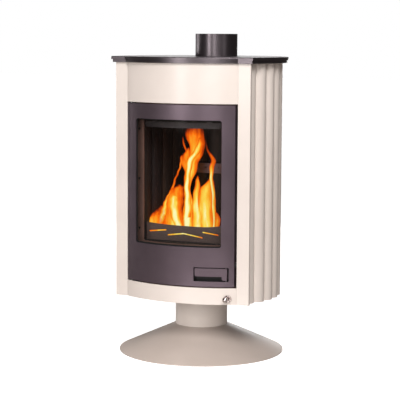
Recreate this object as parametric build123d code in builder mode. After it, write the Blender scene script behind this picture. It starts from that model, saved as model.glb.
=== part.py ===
"""Freestanding wood burning stove on a round pedestal, with a bowed door and a fluted casing.

Millimetres, +Z up. The origin is on the floor, on the pedestal's axis. The door faces -Y, and +X is
to the right of somebody who looks at it. The bow, which the door and the two front panels share, is
a cylinder about a vertical axis, so each bowed piece is an outline in the XZ plane kept between two
radii of that cylinder.
"""

import os
from math import acos, atan2, cos, degrees, hypot, radians, sin, sqrt, tan

from build123d import *

os.makedirs("parts", exist_ok=True)

# ---------------------------------------------------------------- driving dimensions
# Casing
body_bottom = 197.0
body_height = 790.0
wing_y = 170.0  # from the pedestal's axis to the front of the two wings
wing_inner_x = 200.0
wing_outer_x = 243.0
wing_depth = 12.0
bow_rise = 52.0
panel_sheet = 2.0
crest_radius = 271.0
groove_depth = 14.0
flute_count = 22
first_groove_angle = -35.4
side_flutes = 7
casing_sheet = 1.5

# Top and flue
top_frame_height = 9.5
top_frame_overhang = 8.0  # in front of the body, and at its corners
top_frame_side_overhang = 15.0
top_frame_width = 24.0
top_plate_thickness = 10.5
top_plate_overhang = 12.0
top_plate_side_overhang = 19.0
top_edge_radius = 3.0
flue_diameter = 145.0  # a nominal 150 mm pipe slips over it
flue_wall = 2.0
flue_y = 116.0
flue_height = 76.0
flue_shoulder = 4.0

# Pedestal
neck_diameter = 178.0
neck_wall = 4.0
cone_rim_radius = 282.0
cone_rim_height = 3.0
cone_height = 91.0
cone_sheet = 3.0
floor_plate_thickness = 8.0
flange_thickness = 8.0
flange_width = 30.0
bolt_radius = 5.0
bolts_per_flange = 6
bottom_plate_thickness = 4.0

# Door
door_bottom = 256.0
door_height = 596.0
door_left_x = -197.0
door_right_x = 192.5
door_sheet = 4.0
door_return = 8.0
return_sheet = 2.0
opening_gap = 4.0  # above and below the door
window_left_x = -158.0
window_right_x = 153.0
bottom_rail = 129.5
top_rail = 49.5
window_corner = 8.0
glass_lap = 10.0
glass_thickness = 4.0
glass_seal = 4.0
pan_sheet = 2.5
pan_left_x = -180.0
pan_right_x = 183.0
pan_depth = 20.5  # from the door's front face to the back of the pan
rope_width = 9.0
rope_depth = 7.0
rope_corner = 14.0
hinge_x = -184.0
hinge_setback = 9.3  # from the bow's face to the hinge pin
hinge_pin_radius = 4.0
hinge_lug_height = 10.0

# Handle and latch
recess_left_x = 65.7
recess_right_x = 177.2
recess_bottom = 273.5
recess_height = 46.5
cup_sheet = 1.5
cup_depth = 16.0
lever_left_x = 69.5
lever_right_x = 171.8
lever_top = 317.0
lever_height = 27.0
lever_leg_width = 15.8
lever_leg_drop = 12.7
lever_corner = 6.0
lever_axis_x = 166.0
lever_setback = 9.6
shaft_radius = 3.0
hook_length = 24.0
hook_width = 7.0
hook_thickness = 5.0
hook_angle = 25.0

# Air control
knob_x = 174.0
knob_z = 217.0
knob_radius = 10.0
knob_rod_radius = 4.0
bezel_radius = 12.0
air_travel = 35.0
air_slot_width = 44.0
air_slot_length = air_travel - 1.0
damper_sheet = 3.0

# Firebox
liner_front_x = 150.0
liner_front_y = -146.0
liner_rear_x = 95.0
liner_rear_y = 150.0
liner_thickness = 22.0
liner_flutes = 5
rear_flutes = 4
flute_rise = 8.0
liner_drop = 40.0  # from the top of the fire opening
firebox_sheet = 3.0
firebox_lid = 4.0
firebox_floor_z = 280.0
firebox_top_z = 940.0
rear_duct_depth = 24.0
front_frame_sheet = 4.0
front_frame_setback = 28.6  # from the bow's face to the front of the frame
front_frame_half_width = 186.0
fire_opening_half_width = 141.0
fire_opening_drop = 32.0  # from the top of the door
ash_opening_half_width = 112.0
hearth_z = 390.0
hearth_thickness = 14.0
grate_length = 182.0
grate_depth = 152.0
grate_thickness = 8.0
ash_pan_height = 66.0
ash_pan_half_width = 100.0
air_bar_bottom = 596.0
air_bar_height = 34.0
air_hole_radius = 3.0
air_hole_count = 7
air_hole_pitch = 24.0
guard_y = -128.0
guard_sheet = 4.0

# Clearances
seat_gap = 0.2  # between fixed pieces that sit together
running_gap = 0.06  # radial, of a shaft in its hole
move_gap = 0.5  # between flat or bowed faces that move past each other

# ---------------------------------------------------------------- derived places
body_top = body_bottom + body_height
plate_bottom = body_top + top_frame_height
plate_top = plate_bottom + top_plate_thickness
stove_top = plate_top + flue_height
bow_radius = (wing_inner_x**2 + bow_rise**2) / (2 * bow_rise)
bow_y = bow_radius - wing_y - bow_rise
door_top = door_bottom + door_height
window_bottom = door_bottom + bottom_rail
window_height = door_height - bottom_rail - top_rail
fire_opening_top = door_top - fire_opening_drop
liner_top = fire_opening_top - liner_drop
opening_bottom = door_bottom - opening_gap
opening_top = door_top + opening_gap
floor_sheet_z = body_bottom + 3
body_floor = floor_sheet_z + bottom_plate_thickness
flute_pitch = (180 - 2 * first_groove_angle) / flute_count
frame_outer_radius = bow_radius - front_frame_setback
frame_inner_radius = frame_outer_radius - front_frame_sheet
skin_radius = bow_radius - door_sheet
pan_inner_radius = bow_radius - pan_depth
pan_outer_radius = pan_inner_radius + pan_sheet
glass_outer_radius = skin_radius - glass_seal
glass_inner_radius = glass_outer_radius - glass_thickness
hinge_y = bow_y - sqrt((bow_radius - hinge_setback) ** 2 - hinge_x**2)
lever_y = bow_y - sqrt((bow_radius - lever_setback) ** 2 - lever_axis_x**2)
lug_lower_z = door_bottom + return_sheet
lug_upper_z = door_top - return_sheet - hinge_lug_height
pan_bottom = lug_lower_z + hinge_lug_height + move_gap
pan_top = lug_upper_z - move_gap
wall_inner = liner_thickness + 0.5
wall_outer = wall_inner + firebox_sheet
rear_liner_back = liner_rear_y + liner_thickness
duct_front_y = rear_liner_back + seat_gap
rear_wall_y = duct_front_y + rear_duct_depth
firebox_back_y = rear_wall_y + firebox_sheet
firebox_wall_z = firebox_floor_z + 4
taper = (liner_front_x - liner_rear_x) / (liner_rear_y - liner_front_y)
ash_opening_bottom = firebox_wall_z + 2
ash_opening_top = hearth_z - hearth_thickness - 10


# ---------------------------------------------------------------- helpers
def bow_depth(x, radius):
    """Y of the bow's cylinder of the given radius at x."""
    return bow_y - sqrt(radius**2 - x**2)


def bow_band(inner_radius, outer_radius):
    """Upright tube about the bow's axis, as tall as the stove."""
    with BuildPart() as band:
        with BuildSketch():
            with Locations((0, bow_y)):
                Circle(outer_radius)
                Circle(inner_radius, mode=Mode.SUBTRACT)
        extrude(amount=stove_top)
    return band.part


def span(left, right, bottom, top, corner=0.0):
    """Rectangle in the XZ plane, given by its edges."""
    with BuildSketch(Plane.XZ) as outline:
        with Locations(((left + right) / 2, (bottom + top) / 2)):
            if corner:
                RectangleRounded(right - left, top - bottom, corner)
            else:
                Rectangle(right - left, top - bottom)
    return outline.sketch


def bowed(inner_radius, outer_radius, *edges, corner=0.0):
    """Bowed plate: a rectangle of the front kept between two radii of the bow."""
    with BuildPart() as plate:
        extrude(span(*edges, corner), amount=bow_radius - bow_y + 20)
        add(bow_band(inner_radius, outer_radius), mode=Mode.INTERSECT)
    return plate.part


def wall_x(y, offset=0.0):
    """Half width of the tapered firebox at depth y, offset outwards from the liner's crest line."""
    return liner_front_x - (y - liner_front_y) * taper + offset * hypot(1, taper)


def prism(points, bottom, top):
    """Upright prism on a polygon in plan."""
    with BuildPart() as body:
        with BuildSketch(Plane.XY.offset(bottom)):
            with BuildLine():
                Polyline(*points, close=True)
            make_face()
        extrude(amount=top - bottom)
    return body.part


def block(left, right, front, back, bottom, top):
    """Upright box, given by its faces."""
    return prism([(left, front), (right, front), (right, back), (left, back)], bottom, top)


def rod(x, y, radius, bottom, top):
    """Upright round bar."""
    with BuildPart() as bar:
        with BuildSketch(Plane.XY.offset(bottom)):
            with Locations((x, y)):
                Circle(radius)
        extrude(amount=top - bottom)
    return bar.part


def ring(inner_radius, outer_radius, bottom, top):
    """Upright ring on the pedestal's axis."""
    with BuildPart() as body:
        with BuildSketch(Plane.XY.offset(bottom)):
            Circle(outer_radius)
            Circle(inner_radius, mode=Mode.SUBTRACT)
        extrude(amount=top - bottom)
    return body.part


def stove_plan(overhang, side_radius, height):
    """Plan of the top: straight wings, the bow between them, and a round back with tangent sides."""
    front_y = -(wing_y + overhang)
    corner_x = wing_outer_x + overhang
    arc_radius = bow_radius + overhang
    meet_x = sqrt(arc_radius**2 - (front_y - bow_y) ** 2)
    tangent = atan2(front_y, corner_x) + acos(side_radius / hypot(corner_x, front_y))
    side_x = side_radius * cos(tangent)
    side_y = side_radius * sin(tangent)
    with BuildSketch(Plane.XY.offset(height)) as plan:
        with BuildLine():
            Polyline((-side_x, side_y), (-corner_x, front_y), (-meet_x, front_y))
            ThreePointArc((-meet_x, front_y), (0, bow_y - arc_radius), (meet_x, front_y))
            Polyline((meet_x, front_y), (corner_x, front_y), (side_x, side_y))
            ThreePointArc((side_x, side_y), (0, side_radius), (-side_x, side_y))
        make_face()
    return plan.sketch


def polar(radius, angle):
    """Point in plan at an angle in degrees about the pedestal's axis."""
    return (radius * cos(radians(angle)), radius * sin(radians(angle)))


def save(builder, name):
    """Label the finished piece and write its STEP file."""
    builder.part.label = name
    export_step(builder.part, f"parts/{name}.step")


# ---------------------------------------------------------------- pedestal
neck_radius = neck_diameter / 2
cone_slope = atan2(cone_height - cone_rim_height, cone_rim_radius - neck_radius - seat_gap)
cone_sheet_across = cone_sheet / sin(cone_slope)
inner_cone_top = cone_height - cone_sheet_across * tan(cone_slope)
inner_cone_run = cone_rim_radius - cone_sheet_across - neck_radius - seat_gap
inner_cone_in = inner_cone_run * floor_plate_thickness / inner_cone_top
floor_plate_radius = cone_rim_radius - cone_sheet_across - inner_cone_in - 1
flange_outer_radius = neck_radius - neck_wall - seat_gap
bolt_circle = flange_outer_radius - flange_width / 2
foot_flange_top = floor_plate_thickness + flange_thickness
bolt_head = 6.0
bolt_tip_z = 2.0  # the foot bolts stop short of the floor

with BuildPart() as floor_plate:
    with BuildSketch():
        Circle(floor_plate_radius)
    extrude(amount=floor_plate_thickness)
    with BuildSketch(Plane.XY.offset(bolt_tip_z)):
        with PolarLocations(bolt_circle, bolts_per_flange):
            Circle(bolt_radius + seat_gap)
    extrude(amount=floor_plate_thickness, mode=Mode.SUBTRACT)
save(floor_plate, "floor_plate")

with BuildPart() as base_cone:
    cone_top_radius = neck_radius + seat_gap
    with BuildSketch(Plane.XZ):
        with BuildLine():
            Polyline(
                (cone_rim_radius - cone_sheet_across, 0),
                (cone_rim_radius, 0),
                (cone_rim_radius, cone_rim_height),
                (cone_top_radius, cone_height),
                (cone_top_radius, inner_cone_top),
                close=True,
            )
        make_face()
    revolve(axis=Axis.Z)
save(base_cone, "base_cone")

with BuildPart() as pedestal_neck:
    add(ring(neck_radius - neck_wall, neck_radius, floor_plate_thickness, floor_sheet_z))
save(pedestal_neck, "pedestal_neck")

with BuildPart() as neck_flanges:
    flange_inner_radius = flange_outer_radius - flange_width
    add(ring(flange_inner_radius, flange_outer_radius, floor_plate_thickness, foot_flange_top))
    add(ring(flange_inner_radius, flange_outer_radius, floor_sheet_z - flange_thickness, floor_sheet_z))
    with BuildSketch():
        with PolarLocations(bolt_circle, bolts_per_flange):
            Circle(bolt_radius + seat_gap)
    extrude(amount=body_bottom + flange_thickness, mode=Mode.SUBTRACT)
save(neck_flanges, "neck_flanges")

with BuildPart() as pedestal_bolts:
    for shank_bottom, head_bottom in (
        (bolt_tip_z, foot_flange_top),
        (floor_sheet_z - flange_thickness, body_floor),
    ):
        with BuildSketch(Plane.XY.offset(shank_bottom)):
            with PolarLocations(bolt_circle, bolts_per_flange):
                Circle(bolt_radius)
        extrude(amount=head_bottom - shank_bottom)
        with BuildSketch(Plane.XY.offset(head_bottom)):
            with PolarLocations(bolt_circle, bolts_per_flange):
                RegularPolygon(bolt_radius * 1.6, 6, major_radius=False)
        extrude(amount=bolt_head)
save(pedestal_bolts, "pedestal_bolts")

# ---------------------------------------------------------------- fluted casing
half_pitch = radians(flute_pitch / 2)
groove_radius = crest_radius - groove_depth
flute_half_chord = groove_radius * sin(half_pitch)
flute_sagitta = crest_radius - groove_radius * cos(half_pitch)
flute_radius = (flute_half_chord**2 + flute_sagitta**2) / (2 * flute_sagitta)
flute_centre = crest_radius - flute_radius
inner_groove_radius = flute_centre * cos(half_pitch) + sqrt(
    (flute_radius - casing_sheet) ** 2 - (flute_centre * sin(half_pitch)) ** 2
)
seam_angle = degrees(seat_gap / 2 / groove_radius)
casing_tab_x, casing_tab_y = polar(groove_radius, first_groove_angle)


def fluted_sheet(first, count):
    """Rolled sheet of round flutes with sharp grooves, from one groove to another."""
    start = first_groove_angle + first * flute_pitch
    with BuildPart() as sheet:
        with BuildSketch(Plane.XY.offset(body_bottom)):
            with BuildLine():
                for i in range(count):
                    left = start + i * flute_pitch + (seam_angle if i == 0 else 0)
                    right = start + (i + 1) * flute_pitch - (seam_angle if i == count - 1 else 0)
                    crest = start + (i + 0.5) * flute_pitch
                    ThreePointArc(
                        polar(groove_radius, left),
                        polar(crest_radius, crest),
                        polar(groove_radius, right),
                    )
                    ThreePointArc(
                        polar(inner_groove_radius, left),
                        polar(crest_radius - casing_sheet, crest),
                        polar(inner_groove_radius, right),
                    )
                for end in (start + seam_angle, start + count * flute_pitch - seam_angle):
                    Line(polar(inner_groove_radius, end), polar(groove_radius, end))
            make_face()
        extrude(amount=body_height)
    return sheet.part


with BuildPart() as right_casing:
    add(fluted_sheet(0, side_flutes))
    # tab that the pilaster is screwed to
    tab_right = casing_tab_x + 1
    add(block(tab_right - 3, tab_right, -(wing_y - wing_depth), casing_tab_y + 2, body_bottom, body_top))
save(right_casing, "right_casing")

with BuildPart() as left_casing:
    add(mirror(right_casing.part, about=Plane.YZ))
save(left_casing, "left_casing")

with BuildPart() as rear_casing:
    add(fluted_sheet(side_flutes, flute_count - 2 * side_flutes))
save(rear_casing, "rear_casing")

# ---------------------------------------------------------------- pilasters and front panels
with BuildPart() as right_pilaster:
    lip = 8.0
    wing_back = -(wing_y - wing_depth)
    with BuildSketch(Plane.XY.offset(body_bottom)):
        with BuildLine():
            Polyline(
                (wing_inner_x + lip, wing_back),
                (wing_inner_x, wing_back),
                (wing_inner_x, -wing_y),
                (wing_outer_x, -wing_y),
                (wing_outer_x, wing_back),
                (wing_outer_x - lip, wing_back),
                (wing_outer_x - lip, wing_back - panel_sheet),
                (wing_outer_x - panel_sheet, wing_back - panel_sheet),
                (wing_outer_x - panel_sheet, -wing_y + panel_sheet),
                (wing_inner_x + panel_sheet, -wing_y + panel_sheet),
                (wing_inner_x + panel_sheet, wing_back - panel_sheet),
                (wing_inner_x + lip, wing_back - panel_sheet),
                close=True,
            )
        make_face()
    extrude(amount=body_height)
save(right_pilaster, "right_pilaster")

with BuildPart() as left_pilaster:
    add(mirror(right_pilaster.part, about=Plane.YZ))
save(left_pilaster, "left_pilaster")

panel_edge_x = wing_inner_x - move_gap
panel_inner_radius = bow_radius - panel_sheet
panel_return = 10.0


def front_panel(bottom, top):
    """Bowed panel between the pilasters, with a return along each of them."""
    with BuildPart() as panel:
        add(bowed(panel_inner_radius, bow_radius, -panel_edge_x, panel_edge_x, bottom, top))
        for side in (-1, 1):
            near, far = sorted((side * (panel_edge_x - panel_sheet), side * panel_edge_x))
            add(block(near, far, bow_depth(far, bow_radius) + 1, -wing_y + panel_return, bottom, top))
        add(bow_band(panel_inner_radius - panel_return, bow_radius), mode=Mode.INTERSECT)
    return panel.part


knob_plane = Plane(origin=(knob_x, 0, knob_z), x_dir=(1, 0, 0), z_dir=(0, -1, 0))

with BuildPart() as upper_front_panel:
    add(front_panel(opening_top, body_top))
save(upper_front_panel, "upper_front_panel")

with BuildPart() as lower_front_panel:
    add(front_panel(body_bottom, opening_bottom))
    with BuildSketch(knob_plane):
        Circle(bezel_radius + seat_gap)
    extrude(amount=bow_radius, mode=Mode.SUBTRACT)
save(lower_front_panel, "lower_front_panel")

# ---------------------------------------------------------------- top
with BuildPart() as top_frame:
    frame_radius = crest_radius + top_frame_side_overhang
    extrude(stove_plan(top_frame_overhang, frame_radius, body_top), amount=top_frame_height)
    inset = top_frame_overhang - top_frame_width
    extrude(
        stove_plan(inset, crest_radius - 30, body_top),
        amount=top_frame_height,
        mode=Mode.SUBTRACT,
    )
save(top_frame, "top_frame")

flue_radius = flue_diameter / 2
flue_bore = flue_radius - flue_wall

with BuildPart() as top_plate:
    extrude(
        stove_plan(top_plate_overhang, crest_radius + top_plate_side_overhang, plate_bottom),
        amount=top_plate_thickness,
    )
    fillet(top_plate.faces().sort_by(Axis.Z)[-1].outer_wire().edges(), top_edge_radius)
    with BuildSketch(Plane.XY.offset(plate_bottom)):
        with Locations((0, flue_y)):
            Circle(flue_radius + flue_shoulder + 1)
    extrude(amount=top_plate_thickness, mode=Mode.SUBTRACT)
save(top_plate, "top_plate")

with BuildPart() as flue_collar:
    with BuildSketch(Plane.XY.offset(firebox_top_z)):
        with Locations((0, flue_y)):
            Circle(flue_radius + flue_shoulder)
    extrude(amount=plate_top - firebox_top_z)
    with BuildSketch(Plane.XY.offset(plate_top)):
        with Locations((0, flue_y)):
            Circle(flue_radius)
    extrude(amount=flue_height)
    with BuildSketch(Plane.XY.offset(firebox_top_z)):
        with Locations((0, flue_y)):
            Circle(flue_bore)
    extrude(amount=stove_top - firebox_top_z, mode=Mode.SUBTRACT)
save(flue_collar, "flue_collar")

stud_radius = 6.0
stud_places = ((130, -60), (-130, -60), (105, 130), (-105, 130))
with BuildPart() as top_plate_studs:
    for x, y in stud_places:
        add(rod(x, y, stud_radius, firebox_top_z, plate_bottom))
save(top_plate_studs, "top_plate_studs")

# ---------------------------------------------------------------- floor of the body and the air control
bottom_radius = inner_groove_radius - 1.0
slot_front = -92.0
box_left, box_right = 138.0, 208.0
box_front, box_back = -136.0, -20.0
box_sheet = 1.5

with BuildPart() as bottom_plate:
    plate_edge_x = panel_edge_x - panel_sheet - 1
    with BuildSketch(Plane.XY.offset(floor_sheet_z)):
        Circle(bottom_radius)
        with Locations((0, bow_y)):
            Circle(panel_inner_radius - 1, mode=Mode.INTERSECT)
        with Locations((plate_edge_x, wing_depth - wing_y + 1)):
            Rectangle(bottom_radius, bottom_radius, align=(Align.MIN, Align.MAX), mode=Mode.SUBTRACT)
        with Locations((-plate_edge_x, wing_depth - wing_y + 1)):
            Rectangle(bottom_radius, bottom_radius, align=(Align.MAX, Align.MAX), mode=Mode.SUBTRACT)
        with PolarLocations(bolt_circle, bolts_per_flange):
            Circle(bolt_radius + seat_gap, mode=Mode.SUBTRACT)
        with Locations((knob_x, slot_front + air_slot_length / 2)):
            RectangleRounded(air_slot_width, air_slot_length, 4, mode=Mode.SUBTRACT)
    extrude(amount=bottom_plate_thickness)
save(bottom_plate, "bottom_plate")

with BuildPart() as air_box:
    add(block(box_left, box_right, box_front, box_back, body_floor, firebox_floor_z))
    add(
        block(
            box_left + box_sheet,
            box_right - box_sheet,
            box_front + box_sheet,
            box_back - box_sheet,
            body_floor,
            firebox_floor_z - box_sheet,
        ),
        mode=Mode.SUBTRACT,
    )
    with BuildSketch(knob_plane):
        Circle(knob_rod_radius + 1)
    extrude(amount=bow_radius, mode=Mode.SUBTRACT)
    air_port = (box_left + 4, box_left + 16, -100, -40)
    add(block(*air_port, firebox_floor_z - 10, firebox_floor_z), mode=Mode.SUBTRACT)
save(air_box, "air_box")

bezel_face = -bow_depth(knob_x - bezel_radius, bow_radius) + 1.5
bezel_back = -bow_depth(knob_x + bezel_radius, panel_inner_radius) - 6
with BuildPart() as knob_bezel:
    with BuildSketch(knob_plane.offset(bezel_back)):
        Circle(bezel_radius)
        Circle(knob_rod_radius + running_gap, mode=Mode.SUBTRACT)
    extrude(amount=bezel_face - bezel_back)
    face_edges = knob_bezel.edges().filter_by(GeomType.CIRCLE).group_by(Axis.Y)[0]
    fillet(face_edges.sort_by(SortBy.RADIUS)[-1], 1.5)
save(knob_bezel, "knob_bezel")

knob_neck = 3.0
damper_front = slot_front - 6
damper_length = air_slot_length + 12
damper_z = body_floor + move_gap
tab_back = -60.0
tab_sheet = 4.0
knob_centre_y = -(bezel_face + knob_neck + knob_radius)

with BuildPart() as air_knob:
    with Locations((knob_x, knob_centre_y, knob_z)):
        Sphere(knob_radius)
    with BuildSketch(knob_plane.offset(-tab_back)):
        Circle(knob_rod_radius + seat_gap)
    extrude(amount=-knob_centre_y + tab_back, mode=Mode.SUBTRACT)
save(air_knob, "air_knob")

with BuildPart() as air_rod:
    with BuildSketch(knob_plane.offset(-tab_back)):
        Circle(knob_rod_radius)
    extrude(amount=-knob_centre_y + tab_back - seat_gap)
save(air_rod, "air_rod")

with BuildPart() as air_damper:
    add(
        block(
            knob_x - air_slot_width / 2 - 5,
            knob_x + air_slot_width / 2 + 5,
            damper_front,
            damper_front + damper_length,
            damper_z,
            damper_z + damper_sheet,
        )
    )
    tab = (knob_x - 10, knob_x + 10, tab_back - tab_sheet, tab_back, damper_z, knob_z + 9)
    add(block(*tab))
    with BuildSketch(knob_plane):
        Circle(knob_rod_radius + seat_gap)
    extrude(amount=bow_radius, mode=Mode.SUBTRACT)
save(air_damper, "air_damper")

stand_inner_x = neck_diameter / 2 - 5  # clear of the bolts of the pedestal's upper flange
stand_width = 26.0
stand_sheet = 3.0
stand_front, stand_back = -130.0, 175.0

with BuildPart() as stand_channels:
    for side in (-1, 1):
        near, far = sorted((side * stand_inner_x, side * (stand_inner_x + stand_width)))
        add(block(near, far, stand_front, stand_back, body_floor, firebox_floor_z))
        inside = (near + stand_sheet, far - stand_sheet, stand_front, stand_back)
        heights = (body_floor + stand_sheet, firebox_floor_z - stand_sheet)
        add(block(*inside, *heights), mode=Mode.SUBTRACT)
save(stand_channels, "stand_channels")

# ---------------------------------------------------------------- firebox shell
walls_front_y = bow_depth(wall_x(liner_front_y, wall_outer), frame_inner_radius) + 3


def wall_strip(front, back, inner, outer, bottom, top):
    """Upright strip along the right side of the tapered firebox."""
    points = [
        (wall_x(front, inner), front),
        (wall_x(front, outer), front),
        (wall_x(back, outer), back),
        (wall_x(back, inner), back),
    ]
    return prism(points, bottom, top)


def firebox_plan(offset, front, back, bottom, top):
    """Tapered plate as wide as the firebox walls at an offset from the liner."""
    half = [(wall_x(front, offset), front), (wall_x(back, offset), back)]
    return prism(half + [(-x, y) for x, y in reversed(half)], bottom, top)


with BuildPart() as firebox_floor:
    add(firebox_plan(wall_outer, walls_front_y, firebox_back_y, firebox_floor_z, firebox_wall_z))
    add(firebox_plan(wall_inner, -bow_radius, walls_front_y, firebox_floor_z, firebox_wall_z))
    outside = bow_band(frame_inner_radius - seat_gap, bow_radius * 2)
    add(outside, mode=Mode.SUBTRACT)
    add(block(*air_port, firebox_floor_z, firebox_wall_z), mode=Mode.SUBTRACT)
save(firebox_floor, "firebox_floor")

with BuildPart() as firebox_right_wall:
    wall_heights = (firebox_wall_z, firebox_top_z - firebox_lid)
    add(wall_strip(walls_front_y, firebox_back_y, wall_inner, wall_outer, *wall_heights))
save(firebox_right_wall, "firebox_right_wall")

with BuildPart() as firebox_left_wall:
    add(mirror(firebox_right_wall.part, about=Plane.YZ))
save(firebox_left_wall, "firebox_left_wall")

with BuildPart() as firebox_rear_wall:
    add(firebox_plan(wall_inner - seat_gap, rear_wall_y, firebox_back_y, *wall_heights))
save(firebox_rear_wall, "firebox_rear_wall")

with BuildPart() as firebox_top:
    lid_bottom = firebox_top_z - firebox_lid
    add(firebox_plan(wall_outer, walls_front_y, firebox_back_y, lid_bottom, firebox_top_z))
    with BuildSketch(Plane.XY.offset(lid_bottom)):
        with Locations((0, flue_y)):
            Circle(flue_bore)
    extrude(amount=firebox_lid, mode=Mode.SUBTRACT)
save(firebox_top, "firebox_top")

frame_bottom = opening_bottom - 12
frame_top = opening_top + 12
frame_screw_xs = (-fire_opening_half_width - 19, fire_opening_half_width + 15)
lowest_screw = hearth_z + 41
highest_screw = fire_opening_top - 54
frame_screw_heights = (lowest_screw, (lowest_screw + highest_screw) / 2, highest_screw)
screw_head = 4.0
screw_shank = 2.2


def bow_plane(x, z, radius):
    """Plane on the bow's cylinder of the given radius, with its normal outwards."""
    y = bow_depth(x, radius)
    return Plane(origin=(x, y, z), x_dir=(bow_y - y, x, 0), z_dir=(x, y - bow_y, 0))


with BuildPart() as firebox_front_frame:
    add(
        bowed(
            frame_inner_radius,
            frame_outer_radius,
            -front_frame_half_width,
            front_frame_half_width,
            frame_bottom,
            frame_top,
        )
    )
    extrude(
        span(-fire_opening_half_width, fire_opening_half_width, hearth_z, fire_opening_top, 6),
        amount=bow_radius,
        mode=Mode.SUBTRACT,
    )
    extrude(
        span(-ash_opening_half_width, ash_opening_half_width, ash_opening_bottom, ash_opening_top, 4),
        amount=bow_radius,
        mode=Mode.SUBTRACT,
    )
    for z in frame_screw_heights:
        for x in frame_screw_xs:
            with BuildSketch(bow_plane(x, z, frame_outer_radius).offset(1)):
                Circle(screw_shank + seat_gap)
            extrude(amount=-front_frame_sheet - 2, mode=Mode.SUBTRACT)
save(firebox_front_frame, "firebox_front_frame")

with BuildPart() as frame_screws:
    for z in frame_screw_heights:
        for x in frame_screw_xs:
            with BuildSketch(bow_plane(x, z, frame_outer_radius).offset(seat_gap / 2)):
                Circle(screw_head)
            extrude(amount=2)
            with BuildSketch(bow_plane(x, z, frame_outer_radius).offset(1)):
                Circle(screw_shank)
            extrude(amount=-front_frame_sheet - 3)
save(frame_screws, "frame_screws")

# ---------------------------------------------------------------- hearth, grate and ash pan
hearth_bottom = hearth_z - hearth_thickness
grate_y = 10.0
rebate = 9.0

with BuildPart() as hearth_plate:
    hearth_back = duct_front_y - move_gap
    add(firebox_plan(wall_inner - move_gap, -bow_radius, hearth_back, hearth_bottom, hearth_z))
    add(bow_band(frame_inner_radius - move_gap, bow_radius * 2), mode=Mode.SUBTRACT)
    grate_edges = (
        -grate_length / 2,
        grate_length / 2,
        grate_y - grate_depth / 2,
        grate_y + grate_depth / 2,
    )
    low = [e + s * 1.0 for e, s in zip(grate_edges, (-1, 1, -1, 1))]
    add(block(*low, hearth_z - grate_thickness, hearth_z), mode=Mode.SUBTRACT)
    shelf = [e + s * rebate for e, s in zip(grate_edges, (1, -1, 1, -1))]
    add(block(*shelf, hearth_bottom, hearth_z), mode=Mode.SUBTRACT)
save(hearth_plate, "hearth_plate")

with BuildPart() as grate:
    add(block(*grate_edges, hearth_z - grate_thickness, hearth_z))
    with BuildSketch(Plane.XY.offset(hearth_z)):
        with Locations((0, grate_y)):
            with GridLocations(18, 66, 9, 2):
                SlotOverall(54, 8, rotation=90)
    extrude(amount=-grate_thickness, mode=Mode.SUBTRACT)
save(grate, "grate")

pan_front = bow_depth(ash_pan_half_width, frame_inner_radius) + 3
pan_back = 110.0
tray_sheet = 1.5
pull_half_width = 33.0

with BuildPart() as ash_pan:
    add(
        block(
            -ash_pan_half_width,
            ash_pan_half_width,
            pan_front,
            pan_back,
            firebox_wall_z,
            firebox_wall_z + ash_pan_height,
        )
    )
    inner_half = ash_pan_half_width - tray_sheet
    add(
        block(
            -inner_half,
            inner_half,
            pan_front + tray_sheet,
            pan_back - tray_sheet,
            firebox_wall_z + tray_sheet,
            firebox_wall_z + ash_pan_height,
        ),
        mode=Mode.SUBTRACT,
    )
    pull_heights = (firebox_wall_z + 40, firebox_wall_z + 46)
    for x in (-pull_half_width + 3, pull_half_width - 3):
        add(block(x - 3, x + 3, pan_front - 9, pan_front, *pull_heights))
    add(block(-pull_half_width, pull_half_width, pan_front - 12, pan_front - 8, *pull_heights))
save(ash_pan, "ash_pan")

upper_baffle_bottom = 864.0
baffle_sheet = 4.0
rail_height = 8.0
rail_front, rail_back = -120.0, 150.0
hearth_rail_depth = 14.0
baffle_rail_depth = 20.0
with BuildPart() as support_rails:
    for carried, depth in (
        (hearth_bottom, hearth_rail_depth),
        (upper_baffle_bottom, baffle_rail_depth),
    ):
        heights = (carried - rail_height, carried)
        rail = wall_strip(rail_front, rail_back, wall_inner - depth, wall_inner, *heights)
        add(rail)
        add(mirror(rail, about=Plane.YZ))
save(support_rails, "support_rails")

# ---------------------------------------------------------------- liners and baffles
def liner_face(start, end, count, rise):
    """Points of a fluted face: three for each flute, whose crest stands proud to the left."""
    run = (end[0] - start[0], end[1] - start[1])
    length = hypot(*run)
    left = (-run[1] / length, run[0] / length)
    corners = []
    for i in range(count):
        near = (start[0] + run[0] * i / count, start[1] + run[1] * i / count)
        far = (start[0] + run[0] * (i + 1) / count, start[1] + run[1] * (i + 1) / count)
        crest = ((near[0] + far[0]) / 2 + left[0] * rise, (near[1] + far[1]) / 2 + left[1] * rise)
        corners.append((near, crest, far))
    return corners


def fluted_liner(start, end, count, others, bottom, top):
    """Cast liner with a fluted face towards the fire. others are its other corners, end to start."""
    with BuildPart() as liner:
        with BuildSketch(Plane.XY.offset(bottom)):
            with BuildLine():
                for near, crest, far in liner_face(start, end, count, flute_rise):
                    ThreePointArc(near, crest, far)
                Polyline(end, *others, start)
            make_face()
        extrude(amount=top - bottom)
    return liner.part


with BuildPart() as right_liner:
    inner_front = (wall_x(liner_front_y, flute_rise), liner_front_y)
    inner_rear = (wall_x(liner_rear_y, flute_rise), liner_rear_y)
    outline = [
        (inner_rear[0], rear_liner_back),
        (wall_x(rear_liner_back, liner_thickness), rear_liner_back),
        (wall_x(liner_front_y, liner_thickness), liner_front_y),
    ]
    add(fluted_liner(inner_front, inner_rear, liner_flutes, outline, hearth_z, liner_top))
save(right_liner, "right_liner")

with BuildPart() as left_liner:
    add(mirror(right_liner.part, about=Plane.YZ))
save(left_liner, "left_liner")

rear_half = inner_rear[0] - move_gap


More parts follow.
